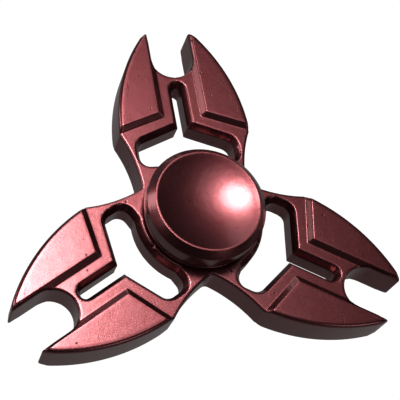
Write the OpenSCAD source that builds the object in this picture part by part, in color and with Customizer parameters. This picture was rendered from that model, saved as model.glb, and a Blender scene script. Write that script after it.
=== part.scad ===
// Three-armed metal fidget spinner with forked claw arms.
// The spin axis is Z and the middle of the plate lies at z = 0.
// The first arm points along +Y. Millimetres throughout.

/* [Claw plate] */
// radius of the circle that the six claw tips reach
tip_r = 35.6; // [30:0.1:40]
// thickness of the plate between its two ledge faces
plate_t = 5.6; // [4:0.1:8]
// radius of the long convex edge of each claw
claw_edge_r = 31.5; // [25:0.5:40]
// distance from the arm's centre line to its outer corner
elbow_x = 11.45; // [9:0.05:14]
// distance from the spin axis to that corner, along the arm
elbow_y = 15.15; // [13:0.05:18]
// radius of the hollow edge of the neck beside the hub
neck_edge_r = 24; // [18:0.5:35]
// radius at which two neighbouring necks meet
valley_r = 10.5; // [10:0.1:12]
// radius of the fillet in that valley
valley_fillet = 1.2; // [0.4:0.1:2]
// radius of the hub wall that the windows run around
hub_r = 10.3; // [10:0.1:12]

/* [Notch between the two claws] */
// radius of the round floor of the notch
notch_r = 3.75; // [3:0.05:5]
// distance from the spin axis to the centre of that floor
notch_y = 30.05; // [27:0.05:32]

/* [Window in each arm] */
// radius of the round end of the narrow slot
slot_r = 1.6; // [1:0.1:2.5]
// distance from the spin axis to the end of the slot
slot_end_y = 25.4; // [22:0.1:27]
// distance from the spin axis to where the slot widens
shoulder_y = 17.2; // [15:0.1:20]
// radius of the two round side lobes
lobe_r = 2.4; // [1.5:0.1:3]
// distance from the arm's centre line to the middle of a lobe
lobe_x = 6.7; // [5:0.1:8]
// length of the straight side of a lobe
lobe_side = 1.2; // [0:0.1:3]
// lowest point of a lobe
lobe_floor_y = 8.95; // [8.5:0.05:10]
// width of the step around the window's edge
rebate_w = 0.7; // [0.1:0.05:0.8]
// depth of that step below the ledge
rebate_h = 1.15; // [0.3:0.05:1.5]

/* [Raised claw faces] */
// height of a claw face above the ledge
pad_h = 0.75; // [0.3:0.05:1.5]
// width of the bevel around a claw face
bevel_w = 0.9; // [0.3:0.05:2]
// distance from the arm's centre line to the foot of the bevel
step_x = 3.3; // [2.5:0.1:5]
// distance from the spin axis to the inner corner of the bevel
step_y = 18.3; // [16:0.1:21]
// distance from the spin axis to the bevel's foot at the elbow
step_end_y = 15.35; // [15.2:0.05:17]

/* [Bearing, size 606] */
// bore of the inner ring
bore_d = 6; // [4:0.5:8]
// outside diameter of the outer ring
bearing_d = 17; // [14:0.5:22]
// width of both rings
bearing_w = 6; // [4:0.5:7]
// ball diameter
ball_d = 3.5; // [2:0.1:4]
// number of balls
ball_n = 6; // [5:1:8]
// free space between a ball and the two grooves
race_gap = 0.05; // [0.02:0.01:0.1]
// outside radius of the inner ring's shoulder
inner_land_r = 4.6; // [4:0.1:5]
// inside radius of the outer ring's shoulder
outer_land_r = 6.95; // [6.5:0.05:7.5]
// thickness of the cage's sheet metal
cage_t = 0.3; // [0.2:0.05:0.5]
// free space between a ball and its cage pocket
pocket_gap = 0.1; // [0.05:0.01:0.2]
// thickness of each dust shield
shield_t = 0.28; // [0.2:0.02:0.4]
// wire diameter of each snap ring
snap_d = 0.28; // [0.2:0.02:0.4]

/* [Finger caps] */
// radius of the upper cap
cap_r = 9.9; // [8:0.05:11]
// radius of the lower cap, which stays hidden behind the hub
low_cap_r = 7.9; // [6:0.05:11]
// height of a cap's rim above the ledge face
cap_rise = 5.25; // [4:0.05:7]
// height of a cap's underside above the ledge face
cap_gap = 1.2; // [0.8:0.1:2]
// distance from a cap's wall in to the crest of its rim
rim_inset = 1.25; // [0.8:0.05:2]
// width of the flat crest of the rim
rim_w = 0.3; // [0.1:0.05:1]
// height of the bevel outside the rim
rim_bevel_h = 1.25; // [0.5:0.05:2]
// depth of the upper cap's hollow for the fingertip
dish_depth = 1.4; // [0.5:0.1:2]
// depth of the lower cap's hollow
low_dish_depth = 0.9; // [0.5:0.1:2]
// radius of the foot that rests on the bearing's inner ring
foot_r = 4.2; // [3.5:0.1:4.4]
// diameter of the stud that joins the two caps
stud_d = 3; // [2:0.5:4]
// length of the stud
stud_len = 6; // [4:0.5:8]

/* [Hidden] */

$fn = 128;
arm_turns = [0, 120, 240];
ledge_z = plate_t / 2;
face_z = ledge_z + pad_h;
bearing_z = bearing_w / 2;
seat_collar_r = bearing_d / 2 + 1;
pitch_r = (bore_d + bearing_d) / 4;
race_r = ball_d / 2 + race_gap;
ball_turn = 360 / ball_n;
ring_edge = 0.25;        // bevel on the corners of both bearing rings
cage_in_r = 5.05;
cage_out_r = 6.5;
rivet_r = 0.35;
rivet_head_r = 0.55;
rivet_head_h = 0.2;
shield_z = 2.3;          // inner face of each shield
shield_seat_r = 7.6;
snap_groove_r = 7.8;
snap_open_turn = 28;     // opening of the snap ring, in degrees
shield_clear = 0.2;      // free space between a shield and the inner ring
cap_floor_z = ledge_z + cap_gap;
cap_edge = 0.3;          // bevel under the edge of each cap
cap_top_z = ledge_z + cap_rise;
post_gap = 0.5;          // space between the ends of the two cap posts
post_clear = 0.04;
stud_clear = 0.02;
stud_hole_z = stud_len / 2 + 0.4;

// ---- claw body -----------------------------------------------------------

// points along an arc, from one angle to another
function arc(centre, r, from, to, steps) =
    [for (i = [0:steps]) centre + r * [cos(from + (to - from) * i / steps), sin(from + (to - from) * i / steps)]];
// the other half of a closed outline whose first and last points lie on the mirror line
function mirrored(points) = [for (i = [len(points) - 2:-1:1]) [-points[i][0], points[i][1]]];
function turned(points, turn) =
    [for (p = points) [p[0] * cos(turn) - p[1] * sin(turn), p[0] * sin(turn) + p[1] * cos(turn)]];
function angle_of(v) = atan2(v[1], v[0]);

// the hollow neck edge runs from the valley between two arms to the elbow
valley_dir = [cos(30), sin(30)];
elbow_p = [elbow_x, elbow_y];
neck_chord = elbow_p - valley_r * valley_dir;
neck_out = [neck_chord[1], -neck_chord[0]] / norm(neck_chord);
neck_c = (elbow_p + valley_r * valley_dir) / 2
    + neck_out * sqrt(pow(neck_edge_r, 2) - pow(norm(neck_chord) / 2, 2));

// the valley fillet touches the neck edges of both arms
neck_reach = neck_c * valley_dir;
fillet_c = valley_dir
    * (neck_reach - sqrt(pow(neck_reach, 2) - neck_c * neck_c + pow(neck_edge_r - valley_fillet, 2)));

// the claw's convex edge starts at the elbow and ends on the tip circle
claw_c = [elbow_x - claw_edge_r, elbow_y];
tip_turn = angle_of(-claw_c)
    + acos((pow(claw_edge_r, 2) + claw_c * claw_c - pow(tip_r, 2)) / (2 * claw_edge_r * norm(claw_c)));

half_arm = concat(
    arc(fillet_c, valley_fillet, 210, angle_of(fillet_c - neck_c), 4),
    arc(neck_c, neck_edge_r, angle_of(fillet_c - neck_c), angle_of(elbow_p - neck_c), 10),
    arc(claw_c, claw_edge_r, 0, tip_turn, 20),
    [[notch_r, sqrt(pow(tip_r, 2) - pow(notch_r, 2))]],
    arc([0, notch_y], notch_r, 0, -90, 12)
);

bevel_slope = atan2(step_end_y - step_y, elbow_x - step_x);

// one half of a window, drawn smaller all round by the inset:
// slot end, shoulder, side lobe and hub wall
lobe_low = [lobe_x, lobe_floor_y + lobe_r];
lobe_high = lobe_low + [0, lobe_side];
shoulder_p = [slot_r, shoulder_y];
shoulder_slope = angle_of(lobe_high - shoulder_p) + asin(lobe_r / norm(lobe_high - shoulder_p));
function half_window(inset) = concat(
    arc([0, slot_end_y - slot_r], slot_r - inset, 90, 0, 8),
    [shoulder_p - inset * [1, (1 + sin(shoulder_slope)) / cos(shoulder_slope)]],
    arc(lobe_high, lobe_r - inset, 90 + shoulder_slope, 0, 6),
    arc(lobe_low, lobe_r - inset, 0, -90, 8),
    arc([0, 0], hub_r + inset, asin((lobe_floor_y + inset) / (hub_r + inset)), 90, 6)
);

module arm_copies() {
    for (turn = arm_turns) rotate(turn) children();
}

module plate_outline() {
    polygon([for (turn = arm_turns) each turned(concat(half_arm, mirrored(half_arm)), turn)]);
}

// the three windows, drawn smaller all round by the inset
module window_outlines(inset) {
    arm_copies() polygon(concat(half_window(inset), mirrored(half_window(inset))));
}

// the space above the ledge that keeps a raised claw face, with its two bevels
module claw_face_space() {
    size = 3 * tip_r;
    tilt = atan2(bevel_w, pad_h);
    intersection() {
        translate([step_x, 0, ledge_z]) rotate([0, tilt, 0])
            translate([0, -size / 2, -size / 2]) cube(size);
        translate([step_x, step_y, ledge_z]) rotate([0, 0, bevel_slope]) rotate([-tilt, 0, 0])
            translate([-size / 2, 0, -size / 2]) cube(size);
    }
}

// everything above the ledge except the six claw faces
module ledge_cut() {
    difference() {
        translate([0, 0, ledge_z]) cylinder(r = 1.5 * tip_r, h = 2 * pad_h);
        arm_copies() for (side = [0, 1]) mirror([side, 0, 0]) claw_face_space();
    }
}

module claw_body() {
    color([0.47, 0.22, 0.24]) difference() {
        union() {
            difference() {
                translate([0, 0, -face_z]) linear_extrude(2 * face_z) plate_outline();
                translate([0, 0, -plate_t]) linear_extrude(2 * plate_t) window_outlines(rebate_w);
                for (flip = [0, 1]) mirror([0, 0, flip]) {
                    ledge_cut();
                    translate([0, 0, ledge_z - rebate_h]) linear_extrude(plate_t) window_outlines(0);
                }
            }
            translate([0, 0, -bearing_z]) cylinder(r = seat_collar_r, h = bearing_w);
        }
        translate([0, 0, -bearing_w]) cylinder(d = bearing_d, h = 2 * bearing_w);
    }
}

// ---- bearing -------------------------------------------------------------

// a half section above z = 0, closed with its mirror image below
function both_sides(half) = concat(half, [for (i = [len(half) - 1:-1:0]) [half[i][0], -half[i][1]]]);

module ball_path_ring() {
    rotate_extrude() translate([pitch_r, 0]) circle(r = race_r);
}

module bearing_outer_ring() {
    out_r = bearing_d / 2;
    half = [
        [outer_land_r, shield_z],
        [shield_seat_r, shield_z],
        [shield_seat_r, shield_z + shield_t],
        [snap_groove_r, shield_z + shield_t],
        [snap_groove_r, shield_z + shield_t + snap_d],
        [shield_seat_r, bearing_z],
        [out_r - ring_edge, bearing_z],
        [out_r, bearing_z - ring_edge]
    ];
    color([0.62, 0.63, 0.65]) difference() {
        rotate_extrude() polygon(both_sides(half));
        ball_path_ring();
    }
}

module bearing_inner_ring() {
    in_r = bore_d / 2;
    half = [
        [inner_land_r, bearing_z - ring_edge],
        [inner_land_r - ring_edge, bearing_z],
        [in_r + ring_edge, bearing_z],
        [in_r, bearing_z - ring_edge]
    ];
    color([0.62, 0.63, 0.65]) difference() {
        rotate_extrude() polygon(both_sides(half));
        ball_path_ring();
    }
}

module ball(number) {
    color([0.78, 0.79, 0.8]) rotate((number - 1) * ball_turn) translate([pitch_r, 0, 0])
        sphere(d = ball_d);
}

// one half of the ribbon cage: flat lands between the balls, round pockets over them
module cage_half() {
    pocket_r = ball_d / 2 + pocket_gap;
    difference() {
        intersection() {
            union() {
                cylinder(r = cage_out_r, h = cage_t);
                for (i = [1:ball_n]) rotate(i * ball_turn) translate([pitch_r, 0, 0])
                    sphere(r = pocket_r + cage_t);
            }
            difference() {
                cylinder(r = cage_out_r, h = ball_d);
                translate([0, 0, -1]) cylinder(r = cage_in_r, h = ball_d + 2);
            }
        }
        for (i = [1:ball_n]) {
            rotate(i * ball_turn) translate([pitch_r, 0, 0]) sphere(r = pocket_r);
            rotate((i + 0.5) * ball_turn) translate([pitch_r, 0, -1]) cylinder(r = rivet_r, h = 3);
        }
    }
}

module cage_upper() {
    color([0.7, 0.68, 0.62]) cage_half();
}

module cage_lower() {
    color([0.7, 0.68, 0.62]) mirror([0, 0, 1]) cage_half();
}

module cage_rivets() {
    color([0.66, 0.64, 0.6]) for (i = [1:ball_n])
        rotate((i + 0.5) * ball_turn) translate([pitch_r, 0, 0]) {
            translate([0, 0, -cage_t - rivet_head_h]) cylinder(r = rivet_r, h = 2 * (cage_t + rivet_head_h));
            for (flip = [0, 1]) mirror([0, 0, flip]) translate([0, 0, cage_t])
                cylinder(r = rivet_head_r, h = rivet_head_h);
        }
}

module shield() {
    difference() {
        translate([0, 0, shield_z]) cylinder(r = shield_seat_r, h = shield_t);
        cylinder(r = inner_land_r + shield_clear, h = bearing_w);
    }
}

module shield_top() {
    color([0.72, 0.72, 0.74]) shield();
}

module shield_bottom() {
    color([0.72, 0.72, 0.74]) mirror([0, 0, 1]) shield();
}

module snap_ring() {
    translate([0, 0, shield_z + shield_t + snap_d / 2])
        rotate_extrude(angle = 360 - snap_open_turn)
            translate([snap_groove_r - snap_d / 2, 0]) circle(d = snap_d, $fn = 32);
}

module snap_ring_top() {
    color([0.55, 0.55, 0.57]) snap_ring();
}

module snap_ring_bottom() {
    color([0.55, 0.55, 0.57]) mirror([0, 0, 1]) snap_ring();
}

// ---- finger caps ---------------------------------------------------------

module cap(wall_r, depth) {
    rim_r = wall_r - rim_inset;
    dish_edge_r = rim_r - rim_w / 2;
    dish_r = (pow(dish_edge_r, 2) + pow(depth, 2)) / (2 * depth);
    difference() {
        rotate_extrude() polygon([
            [0, post_gap / 2],
            [bore_d / 2 - post_clear, post_gap / 2],
            [bore_d / 2 - post_clear, bearing_z],
            [foot_r, bearing_z],
            [foot_r, cap_floor_z],
            [wall_r - cap_edge, cap_floor_z],
            [wall_r, cap_floor_z + cap_edge],
            [wall_r, cap_top_z - rim_bevel_h],
            [rim_r + rim_w / 2, cap_top_z],
            [0, cap_top_z]
        ]);
        translate([0, 0, cap_top_z - depth + dish_r]) sphere(r = dish_r, $fn = 256);
        cylinder(d = stud_d + 2 * stud_clear, h = stud_hole_z);
    }
}

module cap_top() {
    color([0.45, 0.2, 0.21]) cap(cap_r, dish_depth);
}

module cap_bottom() {
    color([0.45, 0.2, 0.21]) mirror([0, 0, 1]) cap(low_cap_r, low_dish_depth);
}

module cap_stud() {
    stud_edge = 0.3;
    color([0.5, 0.5, 0.52]) rotate_extrude() polygon([
        [0, -stud_len / 2],
        [stud_d / 2 - stud_edge, -stud_len / 2],
        [stud_d / 2, -stud_len / 2 + stud_edge],
        [stud_d / 2, stud_len / 2 - stud_edge],
        [stud_d / 2 - stud_edge, stud_len / 2],
        [0, stud_len / 2]
    ]);
}

claw_body();
bearing_outer_ring();
bearing_inner_ring();
ball(1);  // ball_1
ball(2);  // ball_2
ball(3);  // ball_3
ball(4);  // ball_4
ball(5);  // ball_5
ball(6);  // ball_6
cage_upper();
cage_lower();
cage_rivets();
shield_top();
shield_bottom();
snap_ring_top();
snap_ring_bottom();
cap_top();
cap_bottom();
cap_stud();
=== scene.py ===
"""Looks of the three-armed claw spinner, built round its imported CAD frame. Metres."""

import math

import bmesh
import bpy
import numpy as np
from mathutils import Matrix, Vector
from mathutils.geometry import delaunay_2d_cdt


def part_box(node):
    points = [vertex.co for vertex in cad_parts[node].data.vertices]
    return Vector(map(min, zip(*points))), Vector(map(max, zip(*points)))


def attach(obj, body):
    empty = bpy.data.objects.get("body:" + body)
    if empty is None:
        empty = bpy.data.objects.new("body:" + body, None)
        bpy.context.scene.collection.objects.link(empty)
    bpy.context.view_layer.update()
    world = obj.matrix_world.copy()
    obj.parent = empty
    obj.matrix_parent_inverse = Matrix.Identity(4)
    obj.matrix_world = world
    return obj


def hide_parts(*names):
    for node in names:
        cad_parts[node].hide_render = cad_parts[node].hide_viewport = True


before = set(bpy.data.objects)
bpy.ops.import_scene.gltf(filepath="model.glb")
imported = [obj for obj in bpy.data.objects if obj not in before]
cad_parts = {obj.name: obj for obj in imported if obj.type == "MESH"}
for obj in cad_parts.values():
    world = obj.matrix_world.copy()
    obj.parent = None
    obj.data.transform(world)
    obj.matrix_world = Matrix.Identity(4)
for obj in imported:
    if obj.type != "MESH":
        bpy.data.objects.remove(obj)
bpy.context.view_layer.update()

MM = 0.001
_, CLAW_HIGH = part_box("claw_body")
CAP_LOW, CAP_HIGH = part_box("cap_top")
LOW_CAP_LOW, LOW_CAP_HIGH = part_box("cap_bottom")
_, RING_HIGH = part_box("bearing_outer_ring")

# Driving dimensions in millimetres, the same as the CAD's
TIP_R = 35.6
PAD_H = 0.75
FACE_Z = CLAW_HIGH.z / MM
LEDGE_Z = FACE_Z - PAD_H
CLAW_EDGE_R = 31.5
ELBOW = np.array([11.45, 15.15])
NECK_EDGE_R = 24.0
VALLEY_R = 10.5
VALLEY_FILLET = 1.2
HUB_R = 10.3
NOTCH_R = 3.75
NOTCH_Y = 30.05
SLOT_R = 1.6
SLOT_END_Y = 25.4
SHOULDER = np.array([SLOT_R, 17.2])
LOBE_R = 2.4
LOBE_X = 6.7
LOBE_SIDE = 1.2
LOBE_FLOOR_Y = 8.95
REBATE_W = 0.7
REBATE_H = 1.15
BEVEL_W = 0.9
STEP = np.array([3.3, 18.3])
STEP_END_Y = 15.35
BEVEL_SLOPE = math.atan2(STEP_END_Y - STEP[1], ELBOW[0] - STEP[0])
BORE_R = RING_HIGH.x / MM
SEAT_R = BORE_R + 1.0
SEAT_Z = RING_HIGH.z / MM
CAP_GAP = 1.2
STUD_HOLE_R = 1.52
STUD_HOLE_TOP = 3.4
POST_R = 2.96
FOOT_R = 4.2
RIM_INSET = 1.25
RIM_W = 0.3
RIM_BEVEL_H = 1.25
DISH_DEPTH = 1.4
LOW_DISH_DEPTH = 0.9

# How far the casting's edges are worn round, and how its points droop
NECK_ROUND = 0.38
FLANK_ROUND = 0.62
NOTCH_ROUND = 0.36
TIP_ROUND = 0.2
TIP_DROOP = 0.45
TIP_LENGTH = 1.3
SEAT_BEVEL = 0.1

# How closely the body's mesh follows its outline
CREASE_GAP = 0.25
CREASE_TO_EDGE = 0.05
POINT_TO_EDGE = 0.012
POINT_CELL = 0.05
GRID_STEP = 0.7
SEAM_TOLERANCE = 1e-5
WALL_ROWS = [1.0, 0.93, 0.5, 0.0, -0.5, -0.93, -1.0]


# ---- outlines -------------------------------------------------------------

def arc(centre, radius, start, end, gap=0.3):
    """Points along an arc, start and end in degrees, about gap apart."""
    steps = max(3, int(abs(end - start) * math.pi / 180 * radius / gap))
    turns = np.radians(np.linspace(start, end, steps + 1))
    return np.array(centre) + radius * np.stack([np.cos(turns), np.sin(turns)], 1)


def line(start, end, gap=0.3):
    """Points along a straight line, both ends included."""
    start, end = np.array(start, float), np.array(end, float)
    steps = max(1, int(np.linalg.norm(end - start) / gap))
    return start + np.linspace(0, 1, steps + 1)[:, None] * (end - start)


def joined(*parts):
    """One line through several, without the points that two of them share."""
    points = np.concatenate(parts)
    keep = np.r_[True, np.linalg.norm(np.diff(points, axis=0), axis=1) > 1e-6]
    return points[keep]


def angle_of(v):
    """The direction of a vector, in degrees from +X."""
    return math.degrees(math.atan2(v[1], v[0]))


def half_arm_outline():
    """The +X half of one arm: its flank from the valley to the tip, then the notch."""
    valley_dir = np.array([math.cos(math.pi / 6), math.sin(math.pi / 6)])
    chord = ELBOW - VALLEY_R * valley_dir
    out = np.array([chord[1], -chord[0]]) / np.linalg.norm(chord)
    neck_c = (ELBOW + VALLEY_R * valley_dir) / 2
    neck_c = neck_c + out * math.sqrt(NECK_EDGE_R ** 2 - (np.linalg.norm(chord) / 2) ** 2)
    reach = neck_c @ valley_dir
    inner_r = NECK_EDGE_R - VALLEY_FILLET
    fillet_c = valley_dir * (reach - math.sqrt(reach ** 2 - neck_c @ neck_c + inner_r ** 2))
    claw_c = np.array([ELBOW[0] - CLAW_EDGE_R, ELBOW[1]])
    far = claw_c @ claw_c
    tip_cos = (CLAW_EDGE_R ** 2 + far - TIP_R ** 2) / (2 * CLAW_EDGE_R * math.sqrt(far))
    tip_turn = angle_of(-claw_c) + math.degrees(math.acos(tip_cos))
    neck_start = angle_of(fillet_c - neck_c)
    tip_edge = [NOTCH_R, math.sqrt(TIP_R ** 2 - NOTCH_R ** 2)]
    claw_edge = arc(claw_c, CLAW_EDGE_R, 0, tip_turn)
    kept_edge, tip_from = claw_edge[:-6], claw_edge[-6]
    tip_to = [NOTCH_R, TIP_R - 2]
    tip = rounded([(*tip_from, 0), (*tip_edge, TIP_ROUND), (*tip_to, 0)])
    flank = joined(
        arc(fillet_c, VALLEY_FILLET, 210, neck_start, 0.15),
        arc(neck_c, NECK_EDGE_R, neck_start, angle_of(ELBOW - neck_c)),
        kept_edge,
        tip,
    )
    notch = joined(
        line(tip_to, [NOTCH_R, NOTCH_Y]),
        arc([0, NOTCH_Y], NOTCH_R, 0, -90, 0.25),
    )
    return flank, notch


def half_window_outline(inset):
    """The +X half of a window, drawn smaller all round by the inset."""
    lobe_low = np.array([LOBE_X, LOBE_FLOOR_Y + LOBE_R])
    lobe_high = lobe_low + [0, LOBE_SIDE]
    reach = np.linalg.norm(lobe_high - SHOULDER)
    slope = angle_of(lobe_high - SHOULDER) + math.degrees(math.asin(LOBE_R / reach))
    bend = (1 + math.sin(math.radians(slope))) / math.cos(math.radians(slope))
    shoulder = SHOULDER - inset * np.array([1, bend])
    slot_c = [0, SLOT_END_Y - SLOT_R]
    lobe_top = arc(lobe_high, LOBE_R - inset, 90 + slope, 0, 0.25)
    floor_turn = math.degrees(math.asin((LOBE_FLOOR_Y + inset) / (HUB_R + inset)))
    hub_edge = arc([0, 0], HUB_R + inset, floor_turn, 90)
    lobe_floor = arc(lobe_low, LOBE_R - inset, 0, -90, 0.25)
    return joined(
        arc(slot_c, SLOT_R - inset, 90, 0, 0.15),
        line([SLOT_R - inset, slot_c[1]], shoulder),
        line(shoulder, lobe_top[0]),
        lobe_top,
        line(lobe_top[-1], lobe_floor[0]),
        lobe_floor,
        line(lobe_floor[-1], hub_edge[0]),
        hub_edge,
    )


def distance_to(points, outline):
    """Distance from each point to a line of straight pieces."""
    nearest = np.full(len(points), 1e9)
    for a, b in zip(outline[:-1], outline[1:]):
        along = b - a
        share = np.clip((points - a) @ along / (along @ along), 0, 1)
        nearest = np.minimum(nearest, np.linalg.norm(points - a - share[:, None] * along, axis=1))
    return nearest


def rounded(corners, steps=6):
    """A line through (x, y, radius) corners, with an arc at each one that has a radius."""
    points = []
    for i, (x, y, radius) in enumerate(corners):
        here = np.array([x, y], float)
        if radius == 0 or i in (0, len(corners) - 1):
            points.append(here)
            continue
        before = np.array(corners[i - 1][:2]) - here
        after = np.array(corners[i + 1][:2]) - here
        before = before / np.linalg.norm(before)
        after = after / np.linalg.norm(after)
        half = math.acos(np.clip(before @ after, -1, 1)) / 2
        middle = (before + after) / np.linalg.norm(before + after)
        centre = here + middle * radius / math.sin(half)
        first = here + before * radius / math.tan(half) - centre
        last = here + after * radius / math.tan(half) - centre
        for t in np.linspace(0, 1, steps + 1):
            between = first * (1 - t) + last * t
            points.append(centre + between / np.linalg.norm(between) * radius)
    return np.array(points)


# ---- claw body ------------------------------------------------------------

# height past the foot of a claw face's bevel
FACE_STEP = rounded([(-1, 0, 0), (0, 0, 0.25), (BEVEL_W, PAD_H, 0.35), (60, PAD_H, 0)])
# height past the window's narrow edge: a hair of a shelf, a steep bevel, then the ledge
WINDOW_STEP = rounded([
    (0, -REBATE_H - 0.1, 0), (0.06, -REBATE_H, 0.06), (REBATE_W + 0.03, 0, 0.32), (60, 0, 0),
])
# height of the collar round the bearing seat, against distance from the axis
SEAT_STEP = rounded([
    (SEAT_R - 0.8, SEAT_Z - LEDGE_Z, 0), (SEAT_R - SEAT_BEVEL, SEAT_Z - LEDGE_Z, 0.12),
    (SEAT_R, 0, 0.14), (SEAT_R + 0.7, 0, 0),
], 3)
SEAT_RINGS = np.r_[SEAT_R - 0.25, SEAT_STEP[1:-1, 0], SEAT_R + 0.1, SEAT_R + 0.22]
# how far along its own radius each ring of points lies on a rounded edge
ROUND_RINGS = 1 - np.cos(np.radians(np.linspace(12, 90, 7)))


def edge_drop(distance, edge_round):
    """How far an edge rounded to a radius lies below the face, at a distance inside it."""
    inside = np.clip(edge_round - distance, 0, edge_round)
    return edge_round - np.sqrt(edge_round ** 2 - inside ** 2)


def past_bevel_foot(points):
    """Distance of each point past the foot of the claw face's bevel."""
    across_slant = np.array([-math.sin(BEVEL_SLOPE), math.cos(BEVEL_SLOPE)])
    beyond_slant = (points - STEP) @ across_slant
    return np.minimum(points[:, 0] - STEP[0], beyond_slant)


def upper_height(points, flank, notch, window):
    """Height of the body's upper surface over points of the first half arm."""
    past_foot = past_bevel_foot(points)
    height = LEDGE_Z + np.interp(past_foot, FACE_STEP[:, 0], FACE_STEP[:, 1])
    flank_round = np.interp(past_foot, [0, BEVEL_W], [NECK_ROUND, FLANK_ROUND])
    flank_drop = edge_drop(distance_to(points, flank), flank_round)
    height -= np.maximum(flank_drop, edge_drop(distance_to(points, notch), NOTCH_ROUND))
    height += np.interp(distance_to(points, window), WINDOW_STEP[:, 0], WINDOW_STEP[:, 1])
    radius = np.linalg.norm(points, axis=1)
    height -= TIP_DROOP * np.clip((radius - TIP_R + TIP_LENGTH) / TIP_LENGTH, 0, 1) ** 2
    return height + np.interp(radius, SEAT_STEP[:, 0], SEAT_STEP[:, 1])


def offset_points(outline, distances):
    """Points beside an outline, on its left, at each of the distances."""
    along = np.gradient(outline, axis=0)
    along /= np.linalg.norm(along, axis=1)[:, None]
    left = np.stack([-along[:, 1], along[:, 0]], 1)
    return np.concatenate([outline + left * d for d in distances])


def crease_lines():
    """The lines where the upper surface bends: round the bearing seat and along each bevel."""
    creases = [arc([0, 0], radius, 90, 30, 0.2) for radius in SEAT_RINGS]
    slant = np.array([math.cos(BEVEL_SLOPE), math.sin(BEVEL_SLOPE)])
    corner_way = np.array([1, (1 + math.sin(BEVEL_SLOPE)) / math.cos(BEVEL_SLOPE)])
    for past in np.r_[FACE_STEP[1:-1, 0], -0.4, 0.45, 1.4]:
        corner = STEP + past * corner_way
        creases.append(joined(
            line(corner + 12 * slant, corner, CREASE_GAP),
            line(corner, [corner[0], TIP_R], CREASE_GAP),
        ))
    return creases


def loose_points(flank, notch, window, creases):
    """Points between the creases: rings beside every edge, and an even grid."""
    beside = np.concatenate([
        offset_points(flank, np.r_[FLANK_ROUND * ROUND_RINGS, 1.1]),
        offset_points(notch, np.r_[NOTCH_ROUND * ROUND_RINGS, 0.7]),
        offset_points(window, np.r_[WINDOW_STEP[1:-1, 0], 1.2]),
    ])
    for crease in creases:
        beside = beside[distance_to(beside, crease) > 0.04]
    radius = np.linalg.norm(beside, axis=1)
    beside = beside[(radius < SEAT_RINGS.min() - 0.1) | (radius > SEAT_RINGS.max() + 0.1)]
    features = np.concatenate([beside, *creases])
    steps = np.arange(GRID_STEP / 2, TIP_R, GRID_STEP)
    grid = np.stack(np.meshgrid(steps, steps), -1).reshape(-1, 2)
    apart = [np.min(np.linalg.norm(features - place, axis=1)) > 0.3 for place in grid]
    return np.concatenate([beside, grid[apart]])


def inside_loop(points, loop):
    """Which points lie inside a closed loop."""
    inside = np.zeros(len(points), bool)
    for a, b in zip(loop, np.roll(loop, -1, axis=0)):
        crosses = (a[1] > points[:, 1]) != (b[1] > points[:, 1])
        if crosses.any():
            x = a[0] + (points[:, 1] - a[1]) * (b[0] - a[0]) / (b[1] - a[1] + 1e-15)
            inside ^= crosses & (points[:, 0] < x)
    return inside


def half_arm_loop(flank, notch, window):
    """The closed edge of one half arm: outside, window, bore, and the seams between them."""
    bore = arc([0, 0], BORE_R, 90, 30, 0.4)
    hub_way = bore[0] / BORE_R
    valley_way = bore[-1] / BORE_R
    rings_inward = np.sort(SEAT_RINGS)[::-1]
    return joined(
        flank,
        notch,
        line(notch[-1], window[0]),
        window,
        rings_inward[:, None] * hub_way,
        bore,
        rings_inward[::-1, None] * valley_way,
        line(1.01 * rings_inward[0] * valley_way, flank[0]),
    )[:-1]


def half_arm_sheet():
    """Vertices, heights and triangles of the upper surface of one half arm."""
    flank, notch = half_arm_outline()
    window = half_window_outline(REBATE_W)
    loop = half_arm_loop(flank, notch, window)
    closed_loop = np.concatenate([loop, loop[:1]])
    creases = crease_lines()
    flat = [loop]
    edges = []
    count = len(loop)
    for crease in creases:
        off_edge = distance_to(crease, closed_loop) > CREASE_TO_EDGE
        free = inside_loop(crease, loop) & off_edge
        place = count + np.cumsum(free) - 1
        linked = np.flatnonzero(free[:-1] & free[1:])
        edges += [(int(place[i]), int(place[i + 1])) for i in linked]
        flat.append(crease[free])
        count += int(free.sum())
    loose = loose_points(flank, notch, window, creases)
    loose = loose[inside_loop(loose, loop)]
    loose = loose[distance_to(loose, closed_loop) > POINT_TO_EDGE]
    cells = np.round(loose / POINT_CELL).astype(int)
    _, first = np.unique(cells, axis=0, return_index=True)
    flat = np.concatenate(flat + [loose[np.sort(first)]])
    made = delaunay_2d_cdt([Vector(p) for p in flat], edges, [list(range(len(loop)))], 1, 1e-7)
    points = np.array([tuple(p) for p in made[0]])
    return points, upper_height(points, flank, notch, window), made[2]


def wall_edges(faces):
    """Edges that only one triangle uses, in the direction that the triangle uses them."""
    used = {}
    for face in faces:
        for a, b in zip(face, list(face[1:]) + [face[0]]):
            used[(a, b)] = True
    return [(a, b) for a, b in used if (b, a) not in used]


def on_seam(point):
    """Whether a point lies on a plane where two half arms meet."""
    across = point[0] * 0.5 - point[1] * math.cos(math.pi / 6)
    return abs(point[0]) < SEAM_TOLERANCE or abs(across) < SEAM_TOLERANCE


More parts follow.
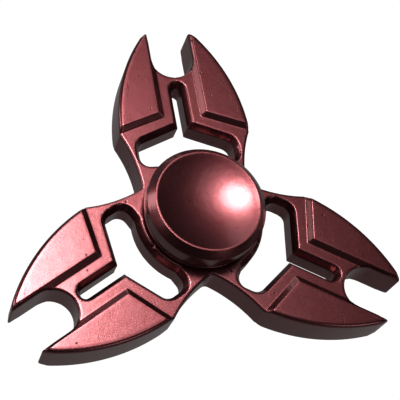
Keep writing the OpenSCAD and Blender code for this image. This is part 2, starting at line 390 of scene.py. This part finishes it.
def claw_body_mesh():
    """The whole cast body: six half arms, their mirror images below, and the walls between."""
    points, heights, faces = half_arm_sheet()
    top = np.column_stack([points, heights])
    count = len(top)
    edges = []
    for a, b in wall_edges(faces):
        middle = (points[a] + points[b]) / 2
        if not (on_seam(points[a]) and on_seam(points[b]) and on_seam(middle)):
            edges.append((a, b))
    wall_vertices = sorted({v for edge in edges for v in edge})
    place = {v: i for i, v in enumerate(wall_vertices)}
    levels = [top[wall_vertices] * [1, 1, row] for row in WALL_ROWS[1:-1]]
    verts = np.concatenate([top, top * [1, 1, -1], *levels])

    def level_vertex(v, row):
        """The number of the vertex straight below v, at one of the wall's rows."""
        if row == 0:
            return v
        if row == len(WALL_ROWS) - 1:
            return v + count
        return 2 * count + (row - 1) * len(wall_vertices) + place[v]

    polygons = [tuple(f) for f in faces]
    polygons += [tuple(v + count for v in reversed(f)) for f in faces]
    for a, b in edges:
        for row in range(len(WALL_ROWS) - 1):
            polygons.append((
                level_vertex(b, row), level_vertex(a, row),
                level_vertex(a, row + 1), level_vertex(b, row + 1),
            ))
    all_verts, all_polygons = [], []
    for turn in (0, 120, 240):
        c, s = math.cos(math.radians(turn)), math.sin(math.radians(turn))
        spin = np.array([[c, s, 0], [-s, c, 0], [0, 0, 1]])
        for flip in (1, -1):
            start = sum(len(v) for v in all_verts)
            all_verts.append((verts * [flip, 1, 1]) @ spin)
            for polygon in polygons:
                order = polygon if flip == 1 else polygon[::-1]
                all_polygons.append([start + v for v in order])
    return np.concatenate(all_verts) * MM, all_polygons


def mesh_object(name, verts, polygons, material):
    """A smooth-shaded object whose doubled seam vertices are merged."""
    mesh = bpy.data.meshes.new(name)
    mesh.from_pydata([tuple(v) for v in verts], [], polygons)
    mesh.update()
    piece = bpy.data.objects.new(name, mesh)
    bpy.context.scene.collection.objects.link(piece)
    mesh.materials.append(material)
    work = bmesh.new()
    work.from_mesh(mesh)
    bmesh.ops.remove_doubles(work, verts=work.verts, dist=2e-7)
    work.to_mesh(mesh)
    work.free()
    mesh.shade_smooth()
    return piece


# ---- turned caps ----------------------------------------------------------

def lathe(profile, steps=256):
    """Vertices and faces of a closed profile, in (radius, height), turned about Z."""
    verts, polygons, rings = [], [], []
    for radius, height in profile:
        if radius < 1e-9:
            rings.append([len(verts)] * steps)
            verts.append((0, 0, height))
            continue
        rings.append(list(range(len(verts), len(verts) + steps)))
        for turn in np.linspace(0, 2 * math.pi, steps, endpoint=False):
            verts.append((radius * math.cos(turn), radius * math.sin(turn), height))
    for low, high in zip(rings[:-1], rings[1:]):
        for i in range(steps):
            j = (i + 1) % steps
            corners = [low[i], low[j], high[j], high[i]]
            polygons.append(list(dict.fromkeys(corners)))
    return np.array(verts), polygons


def cap_profile(cap_r, top, post_end, dish_depth):
    """Section of a cap: stud hole, post, foot, underside, wall, bevel, rim and dish."""
    underside = LEDGE_Z + CAP_GAP
    rim_r = cap_r - RIM_INSET
    edge_r = rim_r - RIM_W / 2
    dish_r = (edge_r ** 2 + dish_depth ** 2) / (2 * dish_depth)
    span = math.degrees(math.asin(edge_r / dish_r))
    dish = arc([0, top - dish_depth + dish_r], dish_r, span - 90, -90, 0.25)
    body = rounded([
        (0, STUD_HOLE_TOP, 0), (STUD_HOLE_R, STUD_HOLE_TOP, 0), (STUD_HOLE_R, post_end, 0),
        (POST_R, post_end, 0.1), (POST_R, SEAT_Z, 0), (FOOT_R, SEAT_Z, 0.1),
        (FOOT_R, underside, 0.1), (cap_r, underside, 0.35), (cap_r, top - RIM_BEVEL_H, 0.18),
        (rim_r + RIM_W / 2, top, 0.14), (edge_r, top, 0.12), (*dish[3], 0),
    ])
    return np.concatenate([body, dish[4:]])


# ---- materials ------------------------------------------------------------

class Nodes:
    """Short calls that add shader nodes to one material."""

    def __init__(self, name):
        self.material = bpy.data.materials.new(name)
        self.material.use_nodes = True
        self.tree = self.material.node_tree
        self.tree.nodes.clear()

    def add(self, kind, inputs=None, **settings):
        """A new node, with each input linked to a socket or set to a value."""
        node = self.tree.nodes.new(kind)
        for key, value in settings.items():
            setattr(node, key, value)
        for key, value in (inputs or {}).items():
            if isinstance(value, bpy.types.NodeSocket):
                self.tree.links.new(value, node.inputs[key])
            else:
                node.inputs[key].default_value = value
        return node

    def ramp(self, value, low, high, to_low, to_high):
        """value rescaled from low..high to to_low..to_high, clamped."""
        node = self.add("ShaderNodeMapRange", {
            "Value": value, "From Min": low, "From Max": high, "To Min": to_low, "To Max": to_high,
        })
        return node.outputs["Result"]

    def noise(self, place, scale, detail=3.0, roughness=0.5):
        """Smooth noise from 0 to 1; scale is about how many of its patches fit in a metre."""
        node = self.add("ShaderNodeTexNoise", {
            "Vector": place, "Scale": scale, "Detail": detail, "Roughness": roughness,
        })
        return node.outputs["Fac"]

    def math(self, operation, a, b):
        """One calculation, each side of it a socket or a number."""
        return self.add("ShaderNodeMath", {0: a, 1: b}, operation=operation).outputs[0]

    def blend(self, share, first, second):
        """A colour between two, each a socket or an (r, g, b)."""
        ends = [c if isinstance(c, bpy.types.NodeSocket) else (*c, 1) for c in (first, second)]
        inputs = {0: share, 6: ends[0], 7: ends[1]}
        return self.add("ShaderNodeMix", inputs, data_type="RGBA").outputs[2]

    def output(self, shader):
        """Ends the material with a shader, and gives the material."""
        self.add("ShaderNodeOutputMaterial", {"Surface": shader})
        return self.material


def plated_metal(name, pit_share):
    """Burgundy plating: dark red metal under a clear, slightly hazy lacquer, with small flaws."""
    n = Nodes(name)
    place = n.add("ShaderNodeTexCoord").outputs["Object"]
    cloud = n.noise(place, 60.0, 3.0)
    grain = n.noise(place, 2600.0, 4.0, 0.6)
    peel = n.noise(place, 700.0, 2.0)
    cells = n.add("ShaderNodeTexVoronoi", {"Vector": place, "Scale": 900.0}, feature="F1")
    chosen = n.add("ShaderNodeSeparateColor", {"Color": cells.outputs["Color"]}).outputs["Red"]
    pit_size = n.ramp(chosen, 1.0 - pit_share, 1.0, 0.0, 0.24)
    pit_depth = n.math("SUBTRACT", cells.outputs["Distance"], pit_size)
    pit = n.ramp(pit_depth, -0.08, 0.0, 1.0, 0.0)
    stretch = n.add("ShaderNodeMapping", {
        "Vector": place, "Rotation": (0, 0, 0.6), "Scale": (9.0, 1.0, 1.0),
    })
    hairline = n.noise(stretch.outputs["Vector"], 420.0, 2.0, 0.4)
    scratch = n.ramp(hairline, 0.69, 0.73, 0.0, 1.0)
    relief = n.math("ADD", n.math("MULTIPLY", grain, 0.25), peel)
    relief = n.math("SUBTRACT", relief, n.math("MULTIPLY", pit, 1.2))
    relief = n.math("SUBTRACT", relief, n.math("MULTIPLY", scratch, 0.35))
    bump = n.add("ShaderNodeBump", {
        "Height": relief, "Strength": 0.2, "Distance": 0.00006,
    }).outputs["Normal"]
    flaw = n.math("MULTIPLY", n.math("MAXIMUM", pit, n.math("MULTIPLY", scratch, 0.4)), 0.75)
    patch = n.ramp(cloud, 0.3, 0.7, 0.0, 1.0)
    deep = n.blend(patch, (0.16, 0.042, 0.046), (0.185, 0.05, 0.055))
    wide = n.blend(patch, (0.18, 0.06, 0.065), (0.21, 0.07, 0.076))
    lacquered = n.add("ShaderNodeBsdfPrincipled", {
        "Base Color": n.blend(flaw, deep, (0.03, 0.006, 0.007)), "Metallic": 1.0,
        "Roughness": n.ramp(grain, 0.3, 0.7, 0.27, 0.33), "Normal": bump,
        "Coat Weight": n.math("SUBTRACT", 0.9, n.math("MULTIPLY", flaw, 0.9)), "Coat IOR": 1.5,
        "Coat Roughness": n.ramp(peel, 0.3, 0.7, 0.15, 0.21), "Coat Normal": bump,
    }).outputs[0]
    haze = n.add("ShaderNodeBsdfPrincipled", {
        "Base Color": n.blend(flaw, wide, (0.03, 0.008, 0.009)), "Metallic": 1.0,
        "Roughness": n.ramp(grain, 0.3, 0.7, 0.52, 0.58), "Normal": bump,
    }).outputs[0]
    return n.output(n.add("ShaderNodeMixShader", {0: 0.2, 1: lacquered, 2: haze}).outputs[0])


def steel(name, tone, roughness, scale):
    """Bare steel with a fine ground or pressed grain."""
    n = Nodes(name)
    place = n.add("ShaderNodeTexCoord").outputs["Object"]
    grain = n.noise(place, scale, 4.0, 0.6)
    cloud = n.noise(place, 300.0, 2.0)
    bump = n.add("ShaderNodeBump", {
        "Height": grain, "Strength": 0.15, "Distance": 0.00002,
    }).outputs["Normal"]
    colour = n.blend(cloud, tuple(0.8 * c for c in tone), tone)
    shader = n.add("ShaderNodeBsdfPrincipled", {
        "Base Color": colour, "Metallic": 1.0, "Normal": bump,
        "Roughness": n.ramp(grain, 0.3, 0.7, roughness - 0.05, roughness + 0.05),
    }).outputs[0]
    return n.output(shader)


# ---- the object -----------------------------------------------------------

body_metal = plated_metal("burgundy_plating", pit_share=0.2)
cap_metal = plated_metal("burgundy_cap_plating", pit_share=0.05)

claw = mesh_object("claw_body_cast", *claw_body_mesh(), body_metal)
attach(claw, "spinner")
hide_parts("claw_body")

caps = [
    ("top", 1, CAP_HIGH.x, CAP_HIGH.z, CAP_LOW.z, DISH_DEPTH),
    ("bottom", -1, LOW_CAP_HIGH.x, -LOW_CAP_LOW.z, -LOW_CAP_HIGH.z, LOW_DISH_DEPTH),
]
for side, flip, cap_r, top, post_end, dish_depth in caps:
    cap_verts, cap_faces = lathe(cap_profile(cap_r / MM, top / MM, post_end / MM, dish_depth))
    faces = cap_faces if flip == 1 else [face[::-1] for face in cap_faces]
    cap = mesh_object(f"cap_{side}_turned", cap_verts * [1, 1, flip] * MM, faces, cap_metal)
    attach(cap, "finger_hold")
    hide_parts(f"cap_{side}")

node_materials = {
    "bearing_": steel("ground_steel", (0.55, 0.55, 0.57), 0.3, 4000.0),
    "ball_": steel("polished_steel", (0.68, 0.68, 0.7), 0.12, 6000.0),
    "cage_": steel("pressed_cage_steel", (0.5, 0.47, 0.42), 0.4, 3000.0),
    "shield_": steel("pressed_shield_steel", (0.6, 0.6, 0.62), 0.35, 3000.0),
    "snap_ring_": steel("drawn_wire_steel", (0.42, 0.42, 0.44), 0.35, 5000.0),
    "cap_stud": steel("turned_stud_steel", (0.4, 0.4, 0.42), 0.4, 5000.0),
}
for node, cad_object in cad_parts.items():
    for start, material in node_materials.items():
        if node.startswith(start):
            cad_object.data.materials.clear()
            cad_object.data.materials.append(material)


# ---- camera ---------------------------------------------------------------

def aim(thing, place, target, roll=0.0):
    """Puts a camera or light at place, looking at target, turned about its own view line."""
    look = (Vector(target) - Vector(place)).to_track_quat("-Z", "Y").to_matrix().to_4x4()
    thing.matrix_world = Matrix.Translation(Vector(place)) @ look @ Matrix.Rotation(roll, 4, "Z")


def round_the_object(azimuth, elevation, distance, centre):
    """A place at an angle round a centre, azimuth 0 in front and elevation above the table."""
    a, e = math.radians(azimuth), math.radians(elevation)
    out = Vector((math.sin(a) * math.cos(e), -math.cos(a) * math.cos(e), math.sin(e)))
    return Vector(centre) + distance * out


# Seen from the front left and well above
look_at = Vector((0.27 * MM, 2.53 * MM, LEDGE_Z * MM))
camera_data = bpy.data.cameras.new("camera")
camera_data.lens = 98.45
camera_data.sensor_width = 36.0
camera_data.clip_start = 0.01
camera = bpy.data.objects.new("camera", camera_data)
bpy.context.scene.collection.objects.link(camera)
aim(camera, round_the_object(-37.0, 60.0, 0.1805, look_at), look_at, math.radians(30.3))
bpy.context.scene.camera = camera


# ---- light table and lamps ------------------------------------------------

def light_table():
    """A pale table lit from within: white to the camera, and dimmer in reflections."""
    half = 1.5
    height = -CAP_HIGH.z
    mesh = bpy.data.meshes.new("light_table")
    corners = [(x * half, y * half, height) for x, y in ((-1, -1), (1, -1), (1, 1), (-1, 1))]
    mesh.from_pydata(corners, [], [(0, 1, 2, 3)])
    n = Nodes("pale_table")
    place = n.add("ShaderNodeTexCoord").outputs["Object"]
    seen_directly = n.add("ShaderNodeLightPath").outputs["Is Camera Ray"]
    paper = n.blend(n.noise(place, 4.0), (0.97, 0.97, 0.97), (1.0, 1.0, 1.0))
    glow = n.add("ShaderNodeEmission", {
        "Color": paper,
        "Strength": n.ramp(seen_directly, 0.0, 1.0, 0.3, 1.04),
    }).outputs[0]
    mesh.materials.append(n.output(glow))
    table = bpy.data.objects.new("light_table", mesh)
    bpy.context.scene.collection.objects.link(table)


LAMP_DISTANCE = 0.6


def soft_lamp(name, direction, width, height, radiance):
    """A soft box that faces the object; radiance is how bright its face looks."""
    lamp = bpy.data.lights.new(name, "AREA")
    lamp.shape = "ELLIPSE"
    lamp.size = width
    lamp.size_y = height
    lamp.energy = radiance * math.pi * (math.pi * width * height / 4)
    obj = bpy.data.objects.new(name, lamp)
    bpy.context.scene.collection.objects.link(obj)
    aim(obj, Vector(direction).normalized() * LAMP_DISTANCE, (0, 0, 0))


light_table()
soft_lamp("key", (0, 0.34, 0.94), 0.2, 0.2, 17.0)
soft_lamp("key_core", (-0.05, 0.35, 0.94), 0.14, 0.14, 14.0)
soft_lamp("key_halo", (0.1, 0.28, 0.95), 0.36, 0.36, 1.2)
soft_lamp("low_left", (-0.85, 0.49, 0.17), 0.24, 0.24, 5.0)
soft_lamp("left_panel", (-0.83, 0.22, 0.5), 0.54, 0.24, 3.2)
soft_lamp("front_right", (0.43, -0.75, 0.5), 0.24, 0.24, 2.6)
soft_lamp("right", (0.87, 0, 0.5), 0.24, 0.24, 2.0)
soft_lamp("low_back", (0, 0.98, 0.17), 0.24, 0.24, 2.0)
soft_lamp("back_panel", (0, 0.76, 0.65), 0.23, 0.44, 1.6)
soft_lamp("top", (-0.15, -0.26, 0.94), 0.32, 0.2, 1.6)

world = bpy.data.worlds.new("dim_room")
world.use_nodes = True
world.node_tree.nodes["Background"].inputs["Color"].default_value = (0.03, 0.03, 0.03, 1)
bpy.context.scene.world = world
bpy.context.scene.view_settings.view_transform = "Standard"
# A gamma below 1 deepens the dark reds and leaves white as it is
bpy.context.scene.view_settings.gamma = 0.79
